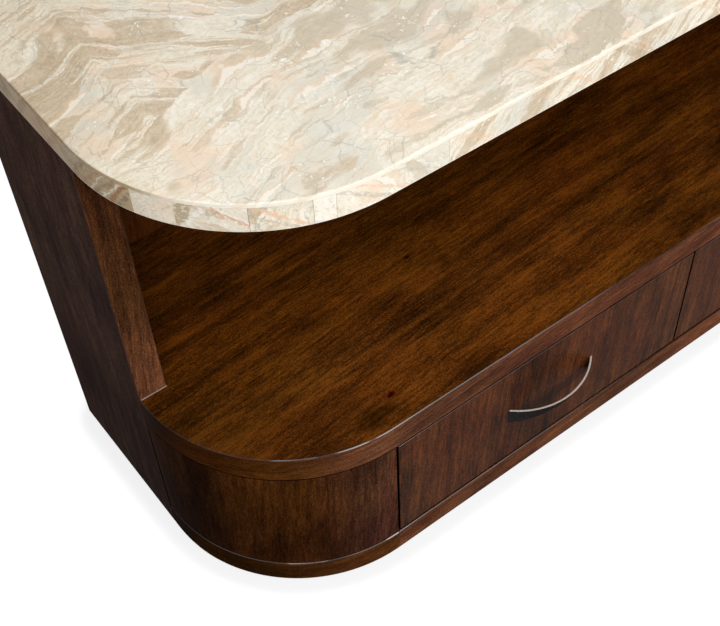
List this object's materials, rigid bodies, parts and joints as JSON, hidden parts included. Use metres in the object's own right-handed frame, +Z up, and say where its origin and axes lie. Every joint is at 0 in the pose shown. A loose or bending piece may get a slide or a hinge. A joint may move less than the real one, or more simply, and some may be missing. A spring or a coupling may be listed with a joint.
{
  "type": "sofa table",
  "caption": "Stone-topped sofa table with quarter-round front corners, an open shelf bay and bow-pull drawers on telescopic slides in a dark wood case.",
  "frame": {"origin": "on the floor, in the middle of the table's length and halfway from the pulls' fronts to the case's back", "axes": "+X along the length, to the right as seen from the drawers; +Y from the drawers to the back; +Z up"},
  "size_m": [1.6286, 0.5566, 0.762],
  "materials": {
    "stone_top": "honed and waxed",
    "stone_edge": "honed and waxed",
    "shelf_wood": "amber-brown stain under satin lacquer",
    "case_wood": "dark walnut stain under satin lacquer",
    "plywood": "unfinished",
    "drawer_wood": "clear lacquer",
    "pull_metal": "champagne bronze, polished edge",
    "slide_steel": "zinc plated",
    "glide_plastic": "moulded"
  },
  "bodies": {
    "case": {"stone_slab": "stone_top", "left_stone_side_strip": "stone_edge", "left_stone_edge_strip_1": "stone_edge", "left_stone_edge_strip_2": "stone_edge", "left_stone_edge_strip_3": "stone_edge", "left_stone_edge_strip_4": "stone_edge", "left_stone_edge_strip_5": "stone_edge", "right_stone_side_strip": "stone_edge", "right_stone_edge_strip_1": "stone_edge", "right_stone_edge_strip_2": "stone_edge", "right_stone_edge_strip_3": "stone_edge", "right_stone_edge_strip_4": "stone_edge", "right_stone_edge_strip_5": "stone_edge", "stone_front_strip": "stone_edge", "stone_back_strip": "stone_edge", "top_core": "plywood", "left_end_panel": "case_wood", "left_top_cleat": "case_wood", "left_corner_panel": "case_wood", "left_base_corner": "case_wood", "left_partition": "plywood", "left_front_glide": "glide_plastic", "left_back_glide": "glide_plastic", "right_end_panel": "case_wood", "right_top_cleat": "case_wood", "right_corner_panel": "case_wood", "right_base_corner": "case_wood", "right_partition": "plywood", "right_front_glide": "glide_plastic", "right_back_glide": "glide_plastic", "back_panel": "case_wood", "back_top_cleat": "case_wood", "shelf": "shelf_wood", "base_front": "case_wood", "bottom_panel": "plywood", "centre_divider": "plywood", "left_drawer_left_case_runner": "slide_steel", "left_drawer_right_case_runner": "slide_steel", "right_drawer_left_case_runner": "slide_steel", "right_drawer_right_case_runner": "slide_steel"},
    "left_drawer": {"left_drawer_front": "case_wood", "left_drawer_left_side": "drawer_wood", "left_drawer_right_side": "drawer_wood", "left_drawer_back": "drawer_wood", "left_drawer_bottom": "drawer_wood", "left_drawer_pull": "pull_metal", "left_drawer_left_drawer_runner": "slide_steel", "left_drawer_right_drawer_runner": "slide_steel"},
    "left_drawer_middle_runners": {"left_drawer_left_middle_runner": "slide_steel", "left_drawer_right_middle_runner": "slide_steel"},
    "right_drawer": {"right_drawer_front": "case_wood", "right_drawer_left_side": "drawer_wood", "right_drawer_right_side": "drawer_wood", "right_drawer_back": "drawer_wood", "right_drawer_bottom": "drawer_wood", "right_drawer_pull": "pull_metal", "right_drawer_left_drawer_runner": "slide_steel", "right_drawer_right_drawer_runner": "slide_steel"},
    "right_drawer_middle_runners": {"right_drawer_left_middle_runner": "slide_steel", "right_drawer_right_middle_runner": "slide_steel"}
  },
  "joints": [
    {"name": "left_drawer_slide", "type": "slide", "parent": "case", "child": "left_drawer", "axis": [0, -1, 0], "range_m": [0, 0.38]},
    {"name": "left_middle_runner_slide", "type": "slide", "parent": "case", "child": "left_drawer_middle_runners", "axis": [0, -1, 0], "range_m": [0, 0.19]},
    {"name": "right_drawer_slide", "type": "slide", "parent": "case", "child": "right_drawer", "axis": [0, -1, 0], "range_m": [0, 0.38]},
    {"name": "right_middle_runner_slide", "type": "slide", "parent": "case", "child": "right_drawer_middle_runners", "axis": [0, -1, 0], "range_m": [0, 0.19]}
  ],
  "couplings": [
    {"joint": "left_middle_runner_slide", "follows": "left_drawer_slide", "ratio": 0.5},
    {"joint": "right_middle_runner_slide", "follows": "right_drawer_slide", "ratio": 0.5}
  ]
}
